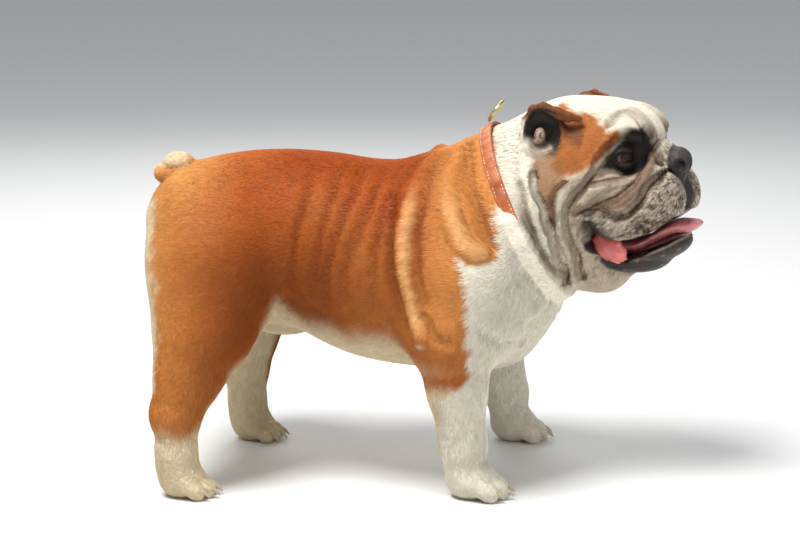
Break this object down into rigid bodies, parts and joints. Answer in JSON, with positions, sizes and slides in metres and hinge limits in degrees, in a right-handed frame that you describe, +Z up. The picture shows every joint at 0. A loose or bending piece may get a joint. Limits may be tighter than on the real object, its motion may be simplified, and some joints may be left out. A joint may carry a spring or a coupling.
{
  "type": "english bulldog",
  "caption": "Standing english bulldog, red fawn and white, mouth open, with a leather collar; a still life-size animal model",
  "frame": {"origin": "on the floor, under the middle of the dog's bounding box", "axes": "+X the way the dog faces, +Y its left side, +Z up"},
  "size_m": [0.6412, 0.354, 0.441],
  "materials": {
    "coat": "short smooth fur, red fawn with white",
    "face": "short fur, white with tan and dark speckled mask",
    "ear": "short brown fur outside, dark bare skin inside",
    "eye": "wet dark brown eye",
    "tongue": "moist pink",
    "collar": "tan leather, stitched along both edges",
    "ring": "polished"
  },
  "bodies": {
    "root": {"torso": "coat", "neck": "coat", "head": "face", "tail": "coat", "foreleg_right": "coat", "foreleg_left": "coat", "hindleg_right": "coat", "hindleg_left": "coat", "ear_right": "ear", "ear_left": "ear", "eye_right": "eye", "eye_left": "eye", "tongue": "tongue", "collar": "collar", "collar_ring": "ring"}
  },
  "joints": []
}
